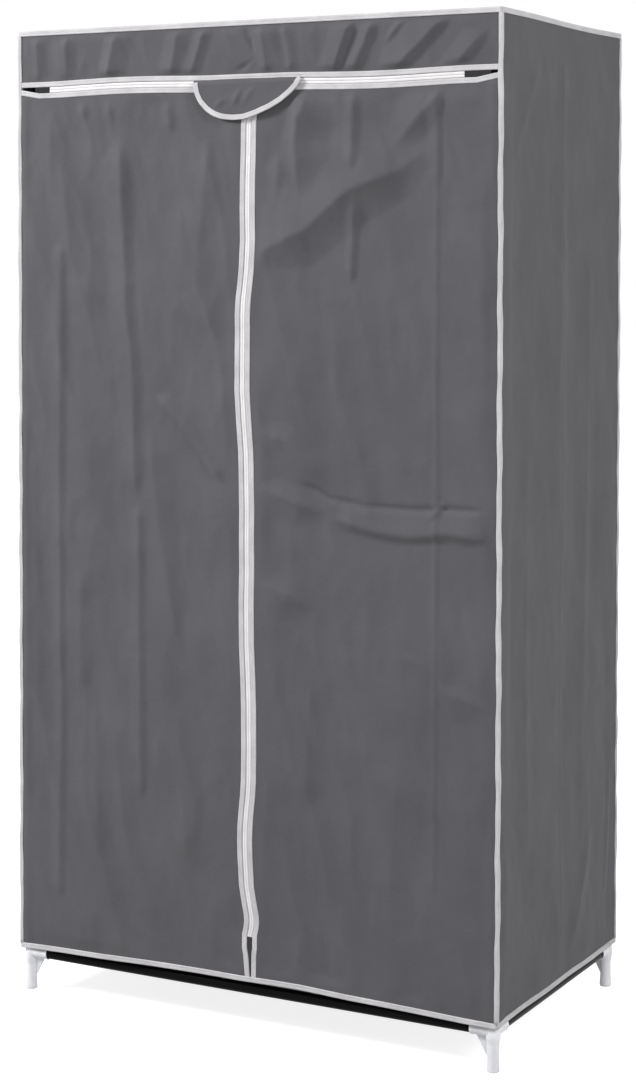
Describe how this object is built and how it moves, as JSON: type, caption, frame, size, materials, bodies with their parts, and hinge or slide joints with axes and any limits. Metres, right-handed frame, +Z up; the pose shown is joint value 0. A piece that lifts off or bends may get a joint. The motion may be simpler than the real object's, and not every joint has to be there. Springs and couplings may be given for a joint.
{
  "type": "portable fabric wardrobe",
  "caption": "Free-standing wardrobe: a frame of thin steel tubes in plastic connectors under a zipped grey cloth cover with white bindings and a half-moon flap.",
  "frame": {"origin": "on the floor, under the middle of the wardrobe", "axes": "+Z up, -Y towards someone who stands in front of the doors, +X to their right"},
  "size_m": [0.752, 0.4455, 1.385],
  "materials": {
    "steel": "glossy black powder coat on thin steel tube",
    "plastic": "milky, slightly translucent moulded plastic",
    "cloth": "grey non-woven cloth, matt",
    "base_cloth": "dark non-woven cloth, matt",
    "binding": "white folded binding tape, matt",
    "zip_tape": "white zip tape with white coil teeth",
    "zip_metal": "white lacquered zip slider and pull tab"
  },
  "bodies": {
    "wardrobe": {"foot_front_left": "plastic", "lower_upright_front_left": "steel", "upper_upright_front_left": "steel", "top_connector_front_left": "plastic", "foot_front_right": "plastic", "lower_upright_front_right": "steel", "upper_upright_front_right": "steel", "top_connector_front_right": "plastic", "foot_back_left": "plastic", "lower_upright_back_left": "steel", "upper_upright_back_left": "steel", "top_connector_back_left": "plastic", "foot_back_right": "plastic", "lower_upright_back_right": "steel", "upper_upright_back_right": "steel", "top_connector_back_right": "plastic", "bottom_rail_front": "steel", "top_rail_front": "steel", "bottom_rail_back": "steel", "top_rail_back": "steel", "bottom_rail_left": "steel", "top_tube_front_left": "steel", "top_tube_back_left": "steel", "tee_left": "plastic", "bottom_rail_right": "steel", "top_tube_front_right": "steel", "top_tube_back_right": "steel", "tee_right": "plastic", "hanging_rail": "steel", "top_panel": "cloth", "back_panel": "cloth", "left_side_panel": "cloth", "right_side_panel": "cloth", "header": "cloth", "left_lower_front": "cloth", "right_lower_front": "cloth", "base_cloth": "base_cloth", "top_binding": "binding", "hem_binding": "binding", "header_binding": "binding", "header_zip_tape": "zip_tape", "piping_front_left": "binding", "piping_front_right": "binding", "piping_back_left": "binding", "piping_back_right": "binding"},
    "left_door": {"left_door": "cloth", "left_door_binding": "binding", "left_door_zip_tape": "zip_tape"},
    "right_door": {"right_door": "cloth", "right_door_binding": "binding", "right_door_zip_tape": "zip_tape"},
    "half_moon": {"half_moon_flap": "cloth", "half_moon_binding": "binding"},
    "centre_slider": {"centre_slider": "zip_metal"},
    "centre_pull_tab": {"centre_pull_tab": "zip_metal"},
    "left_slider": {"left_slider": "zip_metal"},
    "left_pull_tab": {"left_pull_tab": "zip_metal"},
    "right_slider": {"right_slider": "zip_metal"},
    "right_pull_tab": {"right_pull_tab": "zip_metal"}
  },
  "joints": [
    {"name": "left_door_fold", "type": "hinge", "parent": "wardrobe", "child": "left_door", "pos_m": [0.00055, -0.2186, 0.1295], "axis": [0.2679, 0, -0.9634], "range_deg": [0, 150], "deforming": ["half_moon_flap", "half_moon_binding"]},
    {"name": "right_door_fold", "type": "hinge", "parent": "wardrobe", "child": "right_door", "pos_m": [0.00995, -0.2186, 0.1295], "axis": [0.2598, 0, 0.9657], "range_deg": [0, 150], "deforming": ["half_moon_flap", "half_moon_binding"]},
    {"name": "half_moon_lift", "type": "hinge", "parent": "wardrobe", "child": "half_moon", "pos_m": [0.00525, -0.2203, 1.3085], "axis": [-1, 0, 0], "range_deg": [0, 150]},
    {"name": "centre_zip", "type": "slide", "parent": "wardrobe", "child": "centre_slider", "axis": [0, 0, -1], "range_m": [0, 1.1645]},
    {"name": "centre_tab_swing", "type": "hinge", "parent": "centre_slider", "child": "centre_pull_tab", "pos_m": [0.00525, -0.2206, 1.287], "axis": [-1, 0, 0], "range_deg": [0, 170], "deforming": ["half_moon_flap", "half_moon_binding"]},
    {"name": "left_zip", "type": "slide", "parent": "wardrobe", "child": "left_slider", "axis": [-1, 0, 0], "range_m": [0, 0.3048]},
    {"name": "left_tab_swing", "type": "hinge", "parent": "left_slider", "child": "left_pull_tab", "pos_m": [-0.02675, -0.2206, 1.3], "axis": [0, 0, -1], "range_deg": [0, 170], "deforming": ["half_moon_flap", "half_moon_binding"]},
    {"name": "right_zip", "type": "slide", "parent": "wardrobe", "child": "right_slider", "axis": [1, 0, 0], "range_m": [0, 0.2944]},
    {"name": "right_tab_swing", "type": "hinge", "parent": "right_slider", "child": "right_pull_tab", "pos_m": [0.03725, -0.2206, 1.3], "axis": [0, 0, 1], "range_deg": [0, 170], "deforming": ["half_moon_flap", "half_moon_binding"]}
  ]
}
